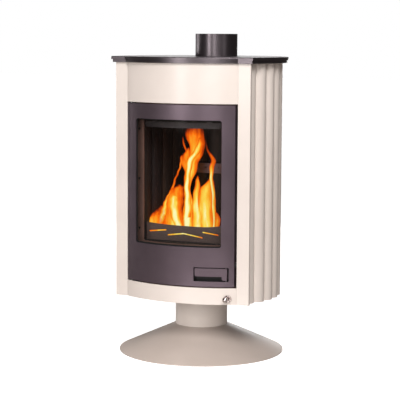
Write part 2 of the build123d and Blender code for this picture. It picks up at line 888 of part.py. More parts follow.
def rear_liner(bottom, top):
    """Rear liner between the side liners."""
    start = (rear_half, liner_rear_y + flute_rise)
    end = (-rear_half, liner_rear_y + flute_rise)
    with BuildPart() as liner:
        with BuildSketch(Plane.XY.offset(bottom)):
            with BuildLine():
                for near, crest, far in liner_face(end, start, rear_flutes, -flute_rise):
                    ThreePointArc(near, crest, far)
                Polyline(start, (rear_half, rear_liner_back), (-rear_half, rear_liner_back), end)
            make_face()
        extrude(amount=top - bottom)
    return liner.part


with BuildPart() as rear_liner_lower:
    add(rear_liner(hearth_z, air_bar_bottom - seat_gap))
save(rear_liner_lower, "rear_liner_lower")

air_bar_top = air_bar_bottom + air_bar_height
with BuildPart() as rear_liner_upper:
    add(rear_liner(air_bar_top + seat_gap, liner_top))
save(rear_liner_upper, "rear_liner_upper")

bar_front = liner_rear_y - 10
bar_sheet = 2.0
slot_low, slot_high = air_bar_bottom + 9, air_bar_top - 9

bar_half = rear_half - 6
port_half = 60.0  # of the port between the duct and the bar
duct_half = port_half + 10
duct_sheet = 2.0
with BuildPart() as secondary_air_bar:
    add(block(-bar_half, bar_half, bar_front, rear_liner_back, air_bar_bottom, air_bar_top))
    add(
        block(
            -bar_half + bar_sheet,
            bar_half - bar_sheet,
            bar_front + bar_sheet,
            rear_liner_back - bar_sheet,
            air_bar_bottom + bar_sheet,
            air_bar_top - bar_sheet,
        ),
        mode=Mode.SUBTRACT,
    )
    with BuildSketch(Plane.XZ.offset(-(bar_front + bar_sheet + 1))):
        with Locations((0, (air_bar_bottom + air_bar_top) / 2 + 3)):
            with GridLocations(air_hole_pitch, 1, air_hole_count, 1):
                Circle(air_hole_radius)
    extrude(amount=bar_sheet + 2, mode=Mode.SUBTRACT)
    port_depth = (rear_liner_back - 6, rear_liner_back)
    add(block(-port_half, port_half, *port_depth, slot_low, slot_high), mode=Mode.SUBTRACT)
save(secondary_air_bar, "secondary_air_bar")

with BuildPart() as secondary_air_duct:
    duct_top = air_bar_top + 10
    add(block(-duct_half, duct_half, duct_front_y, rear_wall_y, firebox_wall_z, duct_top))
    inner_half = duct_half - duct_sheet
    inner_heights = (firebox_wall_z, duct_top - duct_sheet)
    add(
        block(-inner_half, inner_half, duct_front_y + duct_sheet, rear_wall_y, *inner_heights),
        mode=Mode.SUBTRACT,
    )
    port_depth = (duct_front_y, duct_front_y + duct_sheet + 1)
    add(block(-port_half, port_half, *port_depth, slot_low, slot_high), mode=Mode.SUBTRACT)
save(secondary_air_duct, "secondary_air_duct")

lower_baffle_thickness = 25.0
lower_baffle_front = -92.0  # the smoke passes in front of the lower baffle
upper_baffle_front, upper_baffle_back = -138.0, 35.0  # and then behind the upper one
baffle_side = wall_inner - 1.0
with BuildPart() as lower_baffle:
    heights = (liner_top, liner_top + lower_baffle_thickness)
    add(firebox_plan(baffle_side, lower_baffle_front, duct_front_y - 1, *heights))
save(lower_baffle, "lower_baffle")

with BuildPart() as upper_baffle:
    heights = (upper_baffle_bottom, upper_baffle_bottom + baffle_sheet)
    add(firebox_plan(baffle_side, upper_baffle_front, upper_baffle_back, *heights))
save(upper_baffle, "upper_baffle")

deflector_bottom = fire_opening_top - 46.5
deflector_top = deflector_bottom + 19
with BuildPart() as airwash_deflector:
    deflector_radius = frame_inner_radius - 6
    add(
        bowed(
            deflector_radius,
            deflector_radius + 3,
            -fire_opening_half_width + 3,
            fire_opening_half_width - 3,
            deflector_bottom,
            deflector_top,
            corner=9,
        )
    )
    for x in (-100, 100):
        hanger = (x - 8, x + 8, deflector_top - 9, fire_opening_top + 14)
        add(bowed(deflector_radius, frame_inner_radius, *hanger))
        offset_room = (x - 9, x + 9, deflector_bottom, fire_opening_top + 3)
        add(bowed(deflector_radius + 3, frame_inner_radius + 1, *offset_room), mode=Mode.SUBTRACT)
save(airwash_deflector, "airwash_deflector")

guard_half = wall_x(guard_y - guard_sheet, 0) - 1.5
guard_left_z = 448.5
guard_right_z = 454.0
slit_height = 4.5
guard_slits = (
    ((-135, 418.5), (-75, 425)),
    ((-67, 408.5), (-10, 416)),
    ((-10, 416), (58, 406)),
    ((61, 424.5), (116, 418)),
)
with BuildPart() as log_guard:
    with BuildSketch(Plane.XZ.offset(-guard_y)):
        with BuildLine():
            Spline(
                (-guard_half, guard_left_z),
                (-74, 443),
                (6, 441.5),
                (53, 441.5),
                (guard_half, guard_right_z),
            )
            Polyline(
                (guard_half, guard_right_z),
                (guard_half, hearth_z),
                (-guard_half, hearth_z),
                (-guard_half, guard_left_z),
            )
        make_face()
        for (x1, z1), (x2, z2) in guard_slits:
            with Locations(((x1 + x2) / 2, (z1 + z2) / 2)):
                tilt = degrees(atan2(z2 - z1, x2 - x1))
                SlotCenterToCenter(
                    hypot(x2 - x1, z2 - z1), slit_height, rotation=tilt, mode=Mode.SUBTRACT
                )
    extrude(amount=guard_sheet)
    for x in (-guard_half + 20, guard_half - 20):
        add(block(x - 12, x + 12, guard_y, guard_y + 22, hearth_z, hearth_z + 4))
save(log_guard, "log_guard")

shield_half_width = 100.0
shield_sheet = 1.5
shield_top = 900.0
shield_y = firebox_back_y + 12
with BuildPart() as rear_heat_shield:
    shield_depth = (shield_y, shield_y + shield_sheet)
    add(block(-shield_half_width, shield_half_width, *shield_depth, firebox_floor_z, shield_top))
    for z in (firebox_floor_z + 20, shield_top - 40):
        for x in (-80, 80):
            add(block(x - 10, x + 10, firebox_back_y, shield_y, z, z + 2))
save(rear_heat_shield, "rear_heat_shield")

# ---------------------------------------------------------------- hinges and keeper
bracket_sheet = 4.0
bracket_left = hinge_x - 10
bracket_right = hinge_x + 34
with BuildPart() as hinge_brackets:
    for z in (opening_bottom - 2 - bracket_sheet, opening_top + 2):
        add(bowed(frame_outer_radius, skin_radius, bracket_left, bracket_right, z, z + bracket_sheet))
    with BuildSketch():
        with Locations((hinge_x, hinge_y)):
            Circle(hinge_pin_radius + running_gap)
    extrude(amount=stove_top, mode=Mode.SUBTRACT)
save(hinge_brackets, "hinge_brackets")

with BuildPart() as hinge_pins:
    add(rod(hinge_x, hinge_y, hinge_pin_radius, opening_bottom - 9, lug_lower_z + hinge_lug_height - 1))
    add(rod(hinge_x, hinge_y, hinge_pin_radius, lug_upper_z + 1, opening_top + 9))
save(hinge_pins, "hinge_pins")

hook_z = recess_bottom + recess_height + cup_sheet + 4.5
keeper_left = door_right_x - 2.2
with BuildPart() as latch_keeper:
    keeper_front = bow_depth(door_right_x, skin_radius) + door_return - 1.5
    keeper_heights = (hook_z - 6, hook_z + hook_thickness + 6)
    add(block(keeper_left, wing_inner_x, keeper_front, keeper_front + 6, *keeper_heights))
save(latch_keeper, "latch_keeper")

# ---------------------------------------------------------------- door
door_edges = (door_left_x, door_right_x, door_bottom, door_top)
window_edges = (window_left_x, window_right_x, window_bottom, window_bottom + window_height)
recess_edges = (recess_left_x, recess_right_x, recess_bottom, recess_bottom + recess_height)


def grown(edges, amount):
    """The same rectangle with each edge moved outwards."""
    return [edge + side * amount for edge, side in zip(edges, (-1, 1, -1, 1))]


def cut_through(edges, corner=0.0):
    """Bar along Y that cuts a rectangle through the whole bow."""
    return extrude(span(*edges, corner), amount=bow_radius)


with BuildPart() as door_frame:
    return_radius = skin_radius - door_return
    add(bowed(return_radius, bow_radius, *door_edges))
    hollow = bowed(return_radius - 5, skin_radius, *grown(door_edges, -return_sheet))
    add(hollow, mode=Mode.SUBTRACT)
    # room in the returns for the hinge pins and for the latch's keeper
    add(rod(hinge_x, hinge_y, hinge_pin_radius + 1, door_bottom, door_top), mode=Mode.SUBTRACT)
    keeper_room = (door_right_x - 3, door_right_x + 1, hook_z - 8, hook_z + hook_thickness + 8)
    add(bowed(return_radius - 1, skin_radius, *keeper_room), mode=Mode.SUBTRACT)
    add(cut_through(window_edges, window_corner), mode=Mode.SUBTRACT)
    add(cut_through(recess_edges, 3.0), mode=Mode.SUBTRACT)
save(door_frame, "door_frame")

with BuildPart() as door_pan:
    pan_edges = (pan_left_x, pan_right_x, pan_bottom, pan_top)
    add(bowed(pan_inner_radius, skin_radius - seat_gap, *pan_edges))
    hollow = bowed(pan_outer_radius, skin_radius + 1, *grown(pan_edges, -2.0))
    add(hollow, mode=Mode.SUBTRACT)
    sight = (window_left_x - 10, window_right_x + 8, window_bottom - 5, window_bottom + window_height + 5)
    add(cut_through(sight, window_corner), mode=Mode.SUBTRACT)
    hook_room = (door_right_x - 20, door_right_x, hook_z - 2, hook_z + hook_thickness + 2)
    add(cut_through(hook_room), mode=Mode.SUBTRACT)
save(door_pan, "door_pan")

glass_edges = grown(window_edges, glass_lap)
with BuildPart() as door_glass:
    add(bowed(glass_inner_radius, glass_outer_radius, *glass_edges, corner=4.0))
save(door_glass, "door_glass")

with BuildPart() as glass_gasket:
    add(
        bowed(
            glass_outer_radius + seat_gap / 2,
            skin_radius - seat_gap / 2,
            *grown(window_edges, glass_lap - 1),
            corner=4.0,
        )
    )
    add(cut_through(grown(window_edges, 1), window_corner), mode=Mode.SUBTRACT)
save(glass_gasket, "glass_gasket")

retainer_sheet = 2.5
retainer_screw = 2.0
retainer_radius = glass_inner_radius - seat_gap / 2
retainer_zs = (window_bottom - glass_lap - 5, window_bottom + window_height + glass_lap + 5)
retainer_xs = (-120, -40, 40, 120)
with BuildPart() as glass_retainers:
    for z in retainer_zs:
        add(bowed(retainer_radius - retainer_sheet, retainer_radius, -150, 145, z - 10, z + 10))
    for z in retainer_zs:
        for x in retainer_xs:
            with BuildSketch(bow_plane(x, z, retainer_radius).offset(1)):
                Circle(retainer_screw + seat_gap)
            extrude(amount=-retainer_sheet - 2, mode=Mode.SUBTRACT)
save(glass_retainers, "glass_retainers")

with BuildPart() as retainer_screws:
    for z in retainer_zs:
        for x in retainer_xs:
            seat = bow_plane(x, z, retainer_radius)
            with BuildSketch(seat.offset(-retainer_sheet - seat_gap - 0.5)):
                Circle(retainer_screw)
            extrude(amount=skin_radius - retainer_radius + retainer_sheet)
            with BuildSketch(seat.offset(-retainer_sheet - seat_gap)):
                Circle(retainer_screw + 1.5)
            extrude(amount=-1.6)
save(retainer_screws, "retainer_screws")

with BuildPart() as door_gasket:
    rope_edges = (pan_left_x + 2, pan_right_x - 11, pan_bottom + 3, pan_top - 3)
    rope_back = pan_inner_radius - rope_depth
    add(bowed(rope_back, pan_inner_radius - seat_gap / 2, *rope_edges, corner=rope_corner))
    add(cut_through(grown(rope_edges, -rope_width), rope_corner - rope_width), mode=Mode.SUBTRACT)
save(door_gasket, "door_gasket")

with BuildPart() as hinge_lugs:
    for z in (lug_lower_z, lug_upper_z):
        add(block(hinge_x - 9, hinge_x + 12, hinge_y - 9, hinge_y + 7, z, z + hinge_lug_height))
    add(bow_band(10, skin_radius - seat_gap / 2), mode=Mode.INTERSECT)
    with BuildSketch():
        with Locations((hinge_x, hinge_y)):
            Circle(hinge_pin_radius + running_gap)
    extrude(amount=stove_top, mode=Mode.SUBTRACT)
save(hinge_lugs, "hinge_lugs")

cup_inner_radius = bow_radius - cup_depth
with BuildPart() as handle_recess_cup:
    outer = grown(recess_edges, cup_sheet + seat_gap)
    add(bowed(cup_inner_radius - cup_sheet, skin_radius - seat_gap / 2, *outer))
    hollow = bowed(cup_inner_radius, bow_radius, *grown(recess_edges, seat_gap))
    add(hollow, mode=Mode.SUBTRACT)
    add(
        rod(lever_axis_x, lever_y, shaft_radius + running_gap, recess_bottom - 10, hook_z),
        mode=Mode.SUBTRACT,
    )
save(handle_recess_cup, "handle_recess_cup")

# ---------------------------------------------------------------- handle and latch
lever_bottom = lever_top - lever_height
with BuildPart() as handle_lever:
    leg_left = lever_right_x - lever_leg_width
    with BuildSketch(Plane.XZ) as lever_outline:
        with BuildLine():
            Polyline(
                (lever_left_x, lever_top),
                (lever_right_x, lever_top),
                (lever_right_x, lever_bottom - lever_leg_drop),
                (leg_left, lever_bottom - lever_leg_drop),
                (leg_left, lever_bottom),
                (lever_left_x, lever_bottom),
                close=True,
            )
        make_face()
        free_corner = lever_outline.vertices().sort_by_distance((lever_left_x, 0, lever_bottom))[0]
        fillet(free_corner, lever_corner)
        fillet(lever_outline.vertices().sort_by_distance((leg_left, 0, lever_bottom))[0], lever_corner)
    extrude(amount=bow_radius)
    add(bow_band(skin_radius, bow_radius), mode=Mode.INTERSECT)
    boss_bottom = lever_bottom - lever_leg_drop + 2
    add(rod(lever_axis_x, lever_y, shaft_radius + 2.2, boss_bottom, lever_top - 2))
    web = block(
        lever_axis_x - 3,
        lever_axis_x + 3,
        bow_depth(lever_axis_x, skin_radius + 2),
        lever_y,
        boss_bottom,
        lever_top - 2,
    )
    add(web)
    add(
        rod(lever_axis_x, lever_y, shaft_radius + running_gap, boss_bottom - 1, lever_top),
        mode=Mode.SUBTRACT,
    )
save(handle_lever, "handle_lever")

with BuildPart() as latch_shaft:
    shaft_bottom = recess_bottom - cup_sheet - seat_gap
    add(rod(lever_axis_x, lever_y, shaft_radius, shaft_bottom, hook_z + hook_thickness + 3))
save(latch_shaft, "latch_shaft")

with BuildPart() as latch_hook:
    hook_plane = Plane(
        origin=(lever_axis_x, lever_y, hook_z),
        x_dir=(cos(radians(hook_angle)), sin(radians(hook_angle)), 0),
        z_dir=(0, 0, 1),
    )
    with BuildSketch(hook_plane):
        Circle(shaft_radius + 1.6)
        with Locations((hook_length / 2, 0)):
            Rectangle(hook_length, hook_width)
        Circle(shaft_radius + running_gap, mode=Mode.SUBTRACT)
    extrude(amount=hook_thickness)
    fillet(latch_hook.edges().filter_by(Axis.Z).sort_by_distance((wing_outer_x, 0, hook_z))[:2], 2.0)
save(latch_hook, "latch_hook")
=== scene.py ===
import math
import random

import bmesh
import bpy
from mathutils import Matrix, Vector, noise


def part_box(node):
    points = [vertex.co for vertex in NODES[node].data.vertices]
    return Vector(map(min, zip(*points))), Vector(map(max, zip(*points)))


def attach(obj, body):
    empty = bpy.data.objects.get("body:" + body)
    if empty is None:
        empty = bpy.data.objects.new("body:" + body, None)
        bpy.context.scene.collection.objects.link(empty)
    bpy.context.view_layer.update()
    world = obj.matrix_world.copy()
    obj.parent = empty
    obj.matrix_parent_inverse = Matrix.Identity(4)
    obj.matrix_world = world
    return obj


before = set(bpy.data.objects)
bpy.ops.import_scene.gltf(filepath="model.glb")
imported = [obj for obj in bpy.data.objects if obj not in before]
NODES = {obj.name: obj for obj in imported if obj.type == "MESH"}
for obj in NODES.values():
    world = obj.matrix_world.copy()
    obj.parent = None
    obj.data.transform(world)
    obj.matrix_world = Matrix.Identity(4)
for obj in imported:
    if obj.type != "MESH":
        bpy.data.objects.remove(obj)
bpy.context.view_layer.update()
MM = 0.001


# ---------------------------------------------------------------- node helpers


def put(tree, kind, inputs=None, **settings):
    """A new shader node with its settings made and its inputs set or linked."""
    made = tree.nodes.new(kind)
    for key, value in settings.items():
        setattr(made, key, value)
    for key, value in (inputs or {}).items():
        socket = made.inputs[key]
        if isinstance(value, bpy.types.NodeSocket):
            tree.links.new(value, socket)
        else:
            socket.default_value = value
    return made


def surface(name, **sockets):
    """A new material: its tree, its Principled shader and the object coordinates."""
    material = bpy.data.materials.new(name)
    material.use_nodes = True
    tree = material.node_tree
    shader = tree.nodes["Principled BSDF"]
    for key, value in sockets.items():
        shader.inputs[key.replace("_", " ")].default_value = value
    place = put(tree, "ShaderNodeTexCoord").outputs["Object"]
    return material, tree, shader, place


def rgb(colour):
    """The colour as an opaque RGBA value."""
    return (*colour, 1.0)


def grain(tree, place, scale, detail=2.0, roughness=0.5, stretch=None):
    """Noise between 0 and 1; stretch divides the pattern's frequency along an axis."""
    if stretch:
        place = put(
            tree,
            "ShaderNodeMapping",
            {"Vector": place, "Scale": [1.0 / s for s in stretch]},
        ).outputs[0]
    return put(
        tree,
        "ShaderNodeTexNoise",
        {"Vector": place, "Scale": scale, "Detail": detail, "Roughness": roughness},
    ).outputs[0]


def ramp(tree, value, *stops):
    """A colour ramp with (place, colour) stops."""
    made = put(tree, "ShaderNodeValToRGB", {"Fac": value})
    bar = made.color_ramp.elements
    while len(bar) < len(stops):
        bar.new(0.5)
    for element, (spot, colour) in zip(bar, stops):
        element.position = spot
        element.color = rgb(colour)
    return made.outputs[0]


def remap(tree, value, low, high, to_low, to_high):
    """The value's range low to high spread over to_low to to_high, and held at its ends."""
    return put(
        tree,
        "ShaderNodeMapRange",
        {
            "Value": value,
            "From Min": low,
            "From Max": high,
            "To Min": to_low,
            "To Max": to_high,
        },
    ).outputs[0]


def math_node(tree, kind, a, b=0.0):
    """Arithmetic on two values, each a number or a socket."""
    return put(tree, "ShaderNodeMath", {0: a, 1: b}, operation=kind).outputs[0]


def relief(tree, shader, *layers):
    """Chained bumps, each (height, strength, distance)."""
    normal = None
    for height, strength, distance in layers:
        inputs = {"Height": height, "Strength": strength, "Distance": distance}
        if normal:
            inputs["Normal"] = normal
        normal = put(tree, "ShaderNodeBump", inputs).outputs[0]
    tree.links.new(normal, shader.inputs["Normal"])


def dress(slot, material):
    """Every CAD node with that material slot gets the material."""
    for node in NODES.values():
        for i, old in enumerate(node.data.materials):
            if old and old.name.split(".")[0] == slot:
                node.data.materials[i] = material


def dress_node(name, material):
    """One CAD node gets the material in place of its slot's."""
    finish = NODES[name].data.materials
    for i in range(len(finish)):
        finish[i] = material


# ---------------------------------------------------------------- materials


def powder_coat(name, light, dark, rough, metallic=0.0, texture=0.16, flake=0.0, coat=0.0):
    """Baked powder paint: orange peel, fine grain, faint clouding and, with flake, bright specks."""
    material, tree, shader, place = surface(
        name, Metallic=metallic, Coat_Weight=coat, Coat_Roughness=0.22
    )
    cloud = grain(tree, place, 7.0, 4.0, 0.6)
    colour = ramp(tree, cloud, (0.35, dark), (0.65, light))
    if flake:
        speck = grain(tree, place, 2600.0, 1.0)
        spark = remap(tree, speck, 0.62, 0.78, 0.0, flake)
        bright = rgb([min(1.0, 2.2 * c + 0.05) for c in light])
        colour = put(
            tree, "ShaderNodeMix", {0: spark, 6: colour, 7: bright}, data_type="RGBA"
        ).outputs[2]
    tree.links.new(colour, shader.inputs["Base Color"])
    tree.links.new(
        remap(tree, cloud, 0.3, 0.7, rough - 0.03, rough + 0.04),
        shader.inputs["Roughness"],
    )
    peel = grain(tree, place, 210.0, 2.0)
    fine = grain(tree, place, 1500.0, 2.0, 0.7)
    relief(tree, shader, (peel, texture, 0.0004), (fine, texture, 0.00015))
    return material


def rolled_steel(name, light, dark, rough, metallic=1.0, wear=0.35):
    """Mill or heat-stained sheet: streaks along the rolling, blotches, fine pitting."""
    material, tree, shader, place = surface(name, Metallic=metallic)
    lines = grain(tree, place, 260.0, 3.0, 0.6, stretch=(1, 1, 12))
    blotch = grain(tree, place, 14.0, 5.0, 0.65)
    broad = math_node(tree, "MULTIPLY", blotch, 0.7)
    narrow = math_node(tree, "MULTIPLY", lines, 0.3)
    mixed = math_node(tree, "ADD", broad, narrow)
    tree.links.new(
        ramp(tree, mixed, (0.32, dark), (0.68, light)), shader.inputs["Base Color"]
    )
    tree.links.new(
        remap(tree, blotch, 0.25, 0.75, rough - 0.08, rough + 0.1),
        shader.inputs["Roughness"],
    )
    pits = grain(tree, place, 900.0, 3.0, 0.7)
    relief(tree, shader, (lines, wear * 0.5, 0.0002), (pits, wear, 0.0002))
    return material


def cast_iron():
    """Rough sand-cast iron under soot, with a dull sheen."""
    material, tree, shader, place = surface("cast_iron", Metallic=0.35)
    soot = grain(tree, place, 11.0, 5.0, 0.6)
    sand = grain(tree, place, 620.0, 4.0, 0.75)
    tree.links.new(
        ramp(tree, soot, (0.3, (0.006, 0.006, 0.007)), (0.7, (0.020, 0.019, 0.021))),
        shader.inputs["Base Color"],
    )
    tree.links.new(
        remap(tree, soot, 0.3, 0.7, 0.62, 0.46), shader.inputs["Roughness"]
    )
    lump = grain(tree, place, 130.0, 3.0)
    relief(tree, shader, (lump, 0.2, 0.0004), (sand, 0.35, 0.0002))
    return material


def vermiculite():
    """Pressed mineral board of coarse flakes, blackened by soot."""
    material, tree, shader, place = surface("vermiculite", Roughness=0.95)
    flakes = put(tree, "ShaderNodeTexVoronoi", {"Vector": place, "Scale": 420.0})
    shade = grain(tree, place, 60.0, 4.0)
    mixed = math_node(tree, "MULTIPLY", flakes.outputs[0], shade)
    tree.links.new(
        ramp(tree, mixed, (0.05, (0.014, 0.012, 0.010)), (0.45, (0.045, 0.038, 0.031))),
        shader.inputs["Base Color"],
    )
    relief(tree, shader, (flakes.outputs[0], 0.6, 0.0008))
    return material


def seal_rope():
    """Knitted glass-fibre rope: black yarns crossing on the diagonal."""
    material, tree, shader, place = surface("seal_rope", Roughness=0.9, Sheen_Weight=0.25)
    turned = put(
        tree, "ShaderNodeMapping", {"Vector": place, "Rotation": (0.6, 0.78, 0.4)}
    ).outputs[0]
    waves = [
        put(
            tree,
            "ShaderNodeTexWave",
            {"Vector": turned, "Scale": 150.0, "Distortion": 1.5, "Detail": 2.0},
            bands_direction=axis,
        ).outputs[1]
        for axis in ("X", "Z")
    ]
    yarn = math_node(tree, "MAXIMUM", waves[0], waves[1])
    fuzz = grain(tree, place, 1900.0, 2.0)
    tree.links.new(
        ramp(tree, yarn, (0.2, (0.012, 0.011, 0.011)), (0.9, (0.055, 0.050, 0.048))),
        shader.inputs["Base Color"],
    )
    relief(tree, shader, (yarn, 0.7, 0.0009), (fuzz, 0.4, 0.0003))
    return material


def ceramic_glass():
    """Clear glass ceramic, a little smoked towards the edge of the window."""
    material, tree, shader, place = surface(
        "ceramic_glass", Roughness=0.16, IOR=1.5, Specular_IOR_Level=0.2
    )
    smoked_band = 55 * MM
    clear_alpha, smoked_alpha = 0.055, 0.45
    low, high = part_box("door_glass")
    parts = put(tree, "ShaderNodeSeparateXYZ", {"Vector": place})
    haze = grain(tree, place, 9.0, 5.0, 0.65)
    edges = []
    for axis in (0, 2):
        half = (high[axis] - low[axis]) / 2
        middle = (high[axis] + low[axis]) / 2
        offset = math_node(tree, "SUBTRACT", parts.outputs[axis], middle)
        away = math_node(tree, "ABSOLUTE", offset)
        edges.append(remap(tree, away, half - smoked_band, half, 0.0, 1.0))
    rim = math_node(tree, "MAXIMUM", *edges)
    smoke = math_node(tree, "MULTIPLY", rim, haze)
    alpha = remap(tree, smoke, 0.0, 1.0, clear_alpha, smoked_alpha)
    tree.links.new(alpha, shader.inputs["Alpha"])
    tree.links.new(
        ramp(tree, haze, (0.3, (0.018, 0.014, 0.012)), (0.7, (0.035, 0.026, 0.022))),
        shader.inputs["Base Color"],
    )
    relief(tree, shader, (haze, 0.02, 0.001))
    return material


# the light and the dark shade of each finish
CREAM = ((0.845, 0.745, 0.680), (0.815, 0.715, 0.650))
# painted light: a lighter copy of the sand base paint, which stands in for light on the neck in the
# shadow under the body
NECK_PAINTED_LIGHT = ((0.87, 0.77, 0.70), (0.83, 0.73, 0.66))
SAND = ((0.62, 0.515, 0.455), (0.585, 0.485, 0.425))
GRAPHITE = ((0.160, 0.118, 0.140), (0.141, 0.104, 0.123))
TOP_BLACK = ((0.135, 0.114, 0.122), (0.115, 0.096, 0.104))
FIREBOX = ((0.135, 0.105, 0.100), (0.060, 0.046, 0.044))
STRUCTURE = ((0.17, 0.16, 0.155), (0.08, 0.076, 0.075))
ZINC = ((0.56, 0.55, 0.52), (0.36, 0.35, 0.33))
POLISHED = ((0.72, 0.64, 0.62), (0.58, 0.51, 0.50))
BAKED_FRAME = ((0.290, 0.160, 0.125), (0.210, 0.115, 0.090))
BAKED_GREY = ((0.078, 0.066, 0.068), (0.058, 0.048, 0.050))
BAKED_BAR = ((0.205, 0.160, 0.185), (0.155, 0.120, 0.140))
SOOTY = ((0.030, 0.022, 0.020), (0.018, 0.014, 0.013))
GUARD = ((0.125, 0.082, 0.070), (0.105, 0.068, 0.058))
# painted shade: the handle's recess cup is painted near black in place of its graphite paint, to stand in
# for the shade under the lever
RECESS_PAINTED_SHADE = ((0.007, 0.006, 0.006), (0.005, 0.004, 0.004))
# painted shadow: the seal's near-black colour stands in for the shade in the gap round the window's glass
SEAL_AND_PAINTED_SHADOW = ((0.005, 0.004, 0.004), (0.003, 0.003, 0.003))

SLOT_MATERIALS = {
    "cream_paint": powder_coat("cream_paint", *CREAM, rough=0.36, texture=0.10, coat=0.25),
    "base_paint": powder_coat("base_paint", *SAND, rough=0.48, texture=0.14),
    "graphite_paint": powder_coat(
        "graphite_paint", *GRAPHITE, rough=0.37, metallic=0.78, texture=0.12, flake=0.2
    ),
    "top_paint": powder_coat(
        "top_paint", *TOP_BLACK, rough=0.32, metallic=0.92, texture=0.12, flake=0.10
    ),
    "firebox_steel": rolled_steel("firebox_steel", *FIREBOX, rough=0.5, metallic=0.6),
    "structural_steel": rolled_steel("structural_steel", *STRUCTURE, rough=0.48, metallic=0.8),
    "zinc_steel": rolled_steel("zinc_steel", *ZINC, rough=0.32, wear=0.15),
    "polished_steel": rolled_steel("polished_steel", *POLISHED, rough=0.14, wear=0.04),
    "cast_iron": cast_iron(),
    "vermiculite": vermiculite(),
    "seal_rope": seal_rope(),
    "ceramic_glass": ceramic_glass(),
}
NODE_MATERIALS = {
    # painted light: the neck's paint is lightened against the shadow of the body above it
    "pedestal_neck": powder_coat("neck_paint_painted_light", *NECK_PAINTED_LIGHT, rough=0.48, texture=0.14),
    "firebox_front_frame": rolled_steel(
        "baked_frame", *BAKED_FRAME, rough=0.55, metallic=0.2, wear=0.2
    ),
    "frame_screws": rolled_steel("sooty_screws", *SOOTY, rough=0.5, metallic=0.5),
    "airwash_deflector": rolled_steel(
        "baked_grey", *BAKED_GREY, rough=0.42, metallic=0.45, wear=0.15
    ),
    "secondary_air_bar": rolled_steel(
        "baked_bar", *BAKED_BAR, rough=0.5, metallic=0.3, wear=0.15
    ),
    "log_guard": powder_coat("guard_plate", *GUARD, rough=0.55, metallic=0.2),
    # painted shade in the handle's recess under the lever
    "handle_recess_cup": powder_coat("recess_painted_shade", *RECESS_PAINTED_SHADE, rough=0.7),
}

for slot, material in SLOT_MATERIALS.items():
    dress(slot, material)
for name, material in NODE_MATERIALS.items():
    dress_node(name, material)


# ---------------------------------------------------------------- mesh helpers


def finish_mesh(name, mesh, material, body, heat=None, smooth=True):
    """A bmesh made into a piece that rides on a body. The heat is one value for each vertex."""
    data = bpy.data.meshes.new(name)
    bmesh.ops.recalc_face_normals(mesh, faces=mesh.faces)
    mesh.to_mesh(data)
    mesh.free()
    if heat:
        layer = data.attributes.new("fire_level", "FLOAT", "POINT")
        layer.data.foreach_set("value", heat)
    for face in data.polygons:
        face.use_smooth = smooth
    piece = bpy.data.objects.new(name, data)
    bpy.context.scene.collection.objects.link(piece)
    data.materials.append(material)
    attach(piece, body)
    return piece


def rounded_outline(left, right, bottom, top, corner, arc_steps=6, side_steps=24):
    """Points (x, z) once round a rectangle with rounded corners, with its sides divided."""
    centres = (
        (right - corner, top - corner),
        (left + corner, top - corner),
        (left + corner, bottom + corner),
        (right - corner, bottom + corner),
    )
    points = []
    for quarter, (x, z) in enumerate(centres):
        for step in range(arc_steps + 1):
            angle = math.pi / 2 * (quarter + step / arc_steps)
            points.append((x + corner * math.cos(angle), z + corner * math.sin(angle)))
        next_x, next_z = centres[(quarter + 1) % 4]
        turn = math.pi / 2 * (quarter + 1)
        end = (next_x + corner * math.cos(turn), next_z + corner * math.sin(turn))
        start = points[-1]
        for step in range(1, side_steps):
            t = step / side_steps
            points.append((start[0] + (end[0] - start[0]) * t, start[1] + (end[1] - start[1]) * t))
    return points


# ---------------------------------------------------------------- the window's seal


def window_seal_and_painted_shadow():
    """Black seal between the door's skin and the glass, whose lip shows round the window. Its near-black
    colour and its wide bottom lip are also a painted shadow: they stand in for the shade in the gap round
    the glass, which is deepest under the window's lower edge.
    """
    low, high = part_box("door_glass")
    glass_lap = 10 * MM  # the glass reaches this far past the window on each side
    half_chord, rise = 200 * MM, 52 * MM  # of the arc that the door's face follows
    front_depth, back_depth = 4.2 * MM, 7.6 * MM  # behind the door's face
    # the wide bottom lip is painted shadow, showing the shade under the window's lower edge as black seal
    left_lip, right_lip, bottom_lip, top_lip = 2.5 * MM, 2.0 * MM, 4.6 * MM, 2.6 * MM
    outer_corner, inner_corner = 8 * MM, 6.5 * MM

    bow = (half_chord**2 + rise**2) / (2 * rise)
    centre_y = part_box("door_frame")[0].y + bow
    front, back = bow - front_depth, bow - back_depth
    left, right = low.x + glass_lap, high.x - glass_lap
    bottom, top = low.z + glass_lap, high.z - glass_lap
    outer = rounded_outline(left, right, bottom, top, outer_corner)
    inner = rounded_outline(
        left + left_lip, right - right_lip, bottom + bottom_lip, top - top_lip, inner_corner
    )
    mesh = bmesh.new()
    loops = []
    for outline, radius in ((outer, front), (inner, front), (inner, back), (outer, back)):
        loops.append(
            [mesh.verts.new((x, centre_y - math.sqrt(radius**2 - x**2), z)) for x, z in outline]
        )
    for loop, following in zip(loops, loops[1:] + loops[:1]):
        for k in range(len(loop)):
            n = (k + 1) % len(loop)
            mesh.faces.new((loop[k], loop[n], following[n], following[k]))
    # painted shadow: near-black paint, darker than the lit seal rope, stands in for the shade in the gap
    # round the glass
    black = powder_coat("seal_painted_shadow", *SEAL_AND_PAINTED_SHADOW, rough=0.9)
    piece = finish_mesh("window_seal_and_painted_shadow", mesh, black, "door", smooth=False)


window_seal_and_painted_shadow()


# ---------------------------------------------------------------- the fire


